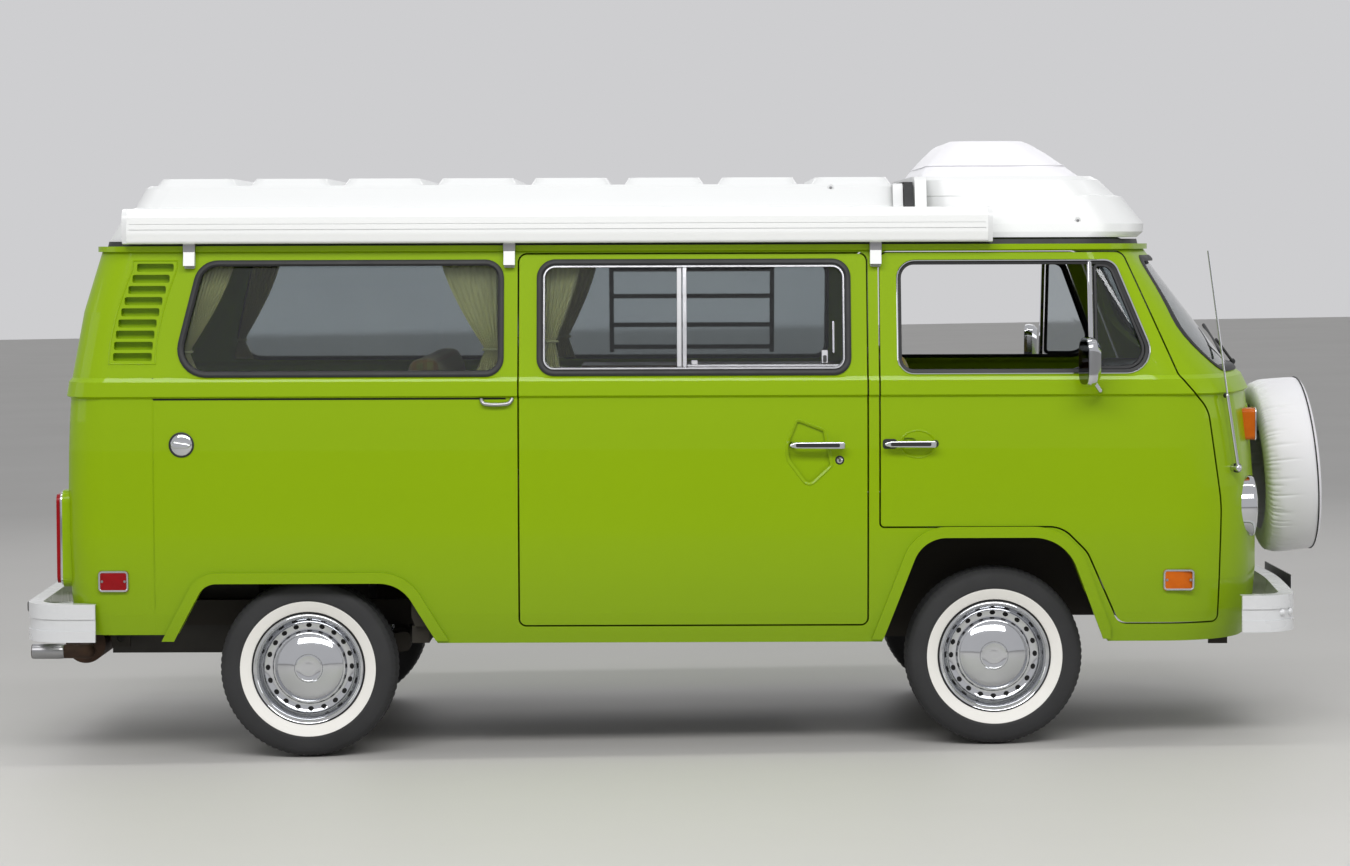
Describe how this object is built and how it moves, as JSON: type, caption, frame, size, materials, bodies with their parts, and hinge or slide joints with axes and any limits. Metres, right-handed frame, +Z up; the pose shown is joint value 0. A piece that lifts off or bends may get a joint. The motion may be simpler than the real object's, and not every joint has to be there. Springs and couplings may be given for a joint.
{
  "type": "camper van",
  "caption": "Forward-cab camper van with a lifting plastic roof, side awning, sliding side door, covered spare wheel on the nose and hinged cab doors, tailgate and engine lid.",
  "frame": {"origin": "on the ground at the middle of the overall length and width", "axes": "+X to the nose, +Y to the left side, +Z up"},
  "size_m": [4.6726, 2.0488, 2.1246],
  "materials": {
    "body_paint": "gloss",
    "roof_plastic": "satin",
    "white_vinyl": "matte",
    "white_aluminium": "painted white",
    "bumper_paint": "gloss",
    "window_glass": "clear",
    "black_rubber": "matte",
    "underbody_paint": "dull",
    "engine_metal": "cast",
    "exhaust_steel": "rusty",
    "lamp_glass": "clear",
    "amber_plastic": "gloss",
    "red_plastic": "gloss",
    "black_plastic": "grained",
    "check_fabric": "woven check",
    "furniture_wood": "satin",
    "curtain_fabric": "woven",
    "chrome_trim": "bright",
    "tyre_rubber": "matte"
  },
  "bodies": {
    "body": {"aerial": "chrome_trim", "amber_lamps": "amber_plastic", "awning": "white_aluminium", "bench_back": "check_fabric", "bench_seat": "check_fabric", "cab_seats": "check_fabric", "chassis_rails": "underbody_paint", "cupboard": "furniture_wood", "curtains": "curtain_fabric", "dashboard": "black_plastic", "deck_pad": "check_fabric", "exhaust": "exhaust_steel", "floor_pan": "underbody_paint", "front_axle_beam": "underbody_paint", "front_bumper": "bumper_paint", "headlamps": "lamp_glass", "luggage_cover": "white_vinyl", "luggage_tray": "roof_plastic", "nose_grille": "body_paint", "nose_panel": "body_paint", "power_unit": "engine_metal", "rear_bench": "furniture_wood", "rear_bumper": "bumper_paint", "rear_suspension": "underbody_paint", "roof_panel": "body_paint", "roof_seal": "black_rubber", "side_glass": "window_glass", "side_panel_left": "body_paint", "side_panel_right": "body_paint", "sliding_door": "body_paint", "sliding_door_glass": "window_glass", "spare_wheel": "white_vinyl", "steering_wheel": "black_plastic", "tail_lamps": "red_plastic", "tail_panel": "body_paint", "windscreen": "window_glass", "wipers": "black_plastic"},
    "door_right": {"cab_door_right": "body_paint", "vent_window_right": "window_glass", "mirror_right": "chrome_trim", "side_marker_right": "amber_plastic"},
    "door_left": {"cab_door_left": "body_paint", "vent_window_left": "window_glass", "mirror_left": "chrome_trim", "side_marker_left": "amber_plastic"},
    "tail_door": {"tailgate": "body_paint", "tailgate_glass": "window_glass"},
    "engine_cover": {"engine_lid": "body_paint"},
    "lifting_roof": {"pop_top": "roof_plastic"},
    "steer_right": {"knuckle_right": "underbody_paint"},
    "steer_left": {"knuckle_left": "underbody_paint"},
    "wheel_front_right": {"tyre_front_right": "tyre_rubber", "rim_front_right": "chrome_trim"},
    "wheel_front_left": {"tyre_front_left": "tyre_rubber", "rim_front_left": "chrome_trim"},
    "wheel_rear_right": {"tyre_rear_right": "tyre_rubber", "rim_rear_right": "chrome_trim"},
    "wheel_rear_left": {"tyre_rear_left": "tyre_rubber", "rim_rear_left": "chrome_trim"}
  },
  "joints": [
    {"name": "steering_right", "type": "hinge", "parent": "body", "child": "steer_right", "pos_m": [1.067, -0.6, 0.312], "axis": [0, 0, 1], "range_deg": [-28, 28]},
    {"name": "steering_left", "type": "hinge", "parent": "body", "child": "steer_left", "pos_m": [1.067, 0.6, 0.312], "axis": [0, 0, 1], "range_deg": [-28, 28]},
    {"name": "spin_front_right", "type": "hinge", "parent": "steer_right", "child": "wheel_front_right", "pos_m": [1.067, -0.6975, 0.312], "axis": [0, 1, 0], "continuous": true},
    {"name": "spin_front_left", "type": "hinge", "parent": "steer_left", "child": "wheel_front_left", "pos_m": [1.067, 0.6975, 0.312], "axis": [0, 1, 0], "continuous": true},
    {"name": "spin_rear_right", "type": "hinge", "parent": "body", "child": "wheel_rear_right", "pos_m": [-1.333, -0.7275, 0.312], "axis": [0, 1, 0], "continuous": true},
    {"name": "spin_rear_left", "type": "hinge", "parent": "body", "child": "wheel_rear_left", "pos_m": [-1.333, 0.7275, 0.312], "axis": [0, 1, 0], "continuous": true},
    {"name": "door_swing_right", "type": "hinge", "parent": "body", "child": "door_right", "pos_m": [1.86438, -0.806, 0.87405], "axis": [0.014, 0, 0.9999], "range_deg": [0, 70]},
    {"name": "door_swing_left", "type": "hinge", "parent": "body", "child": "door_left", "pos_m": [1.86438, 0.806, 0.87405], "axis": [0.014, 0, 0.9999], "range_deg": [-70, 0]},
    {"name": "tailgate_lift", "type": "hinge", "parent": "body", "child": "tail_door", "pos_m": [-2.06473, 0, 1.753], "axis": [0, 1, 0], "range_deg": [0, 82]},
    {"name": "engine_lid_lift", "type": "hinge", "parent": "body", "child": "engine_cover", "pos_m": [-2.18074, 0, 0.96454], "axis": [0, 1, 0], "range_deg": [0, 75]},
    {"name": "roof_lift", "type": "hinge", "parent": "body", "child": "lifting_roof", "pos_m": [-2.02074, 0, 1.82339], "axis": [0, -1, 0], "range_deg": [0, 19]}
  ],
  "couplings": [
    {"joint": "steering_left", "follows": "steering_right", "ratio": 1}
  ]
}
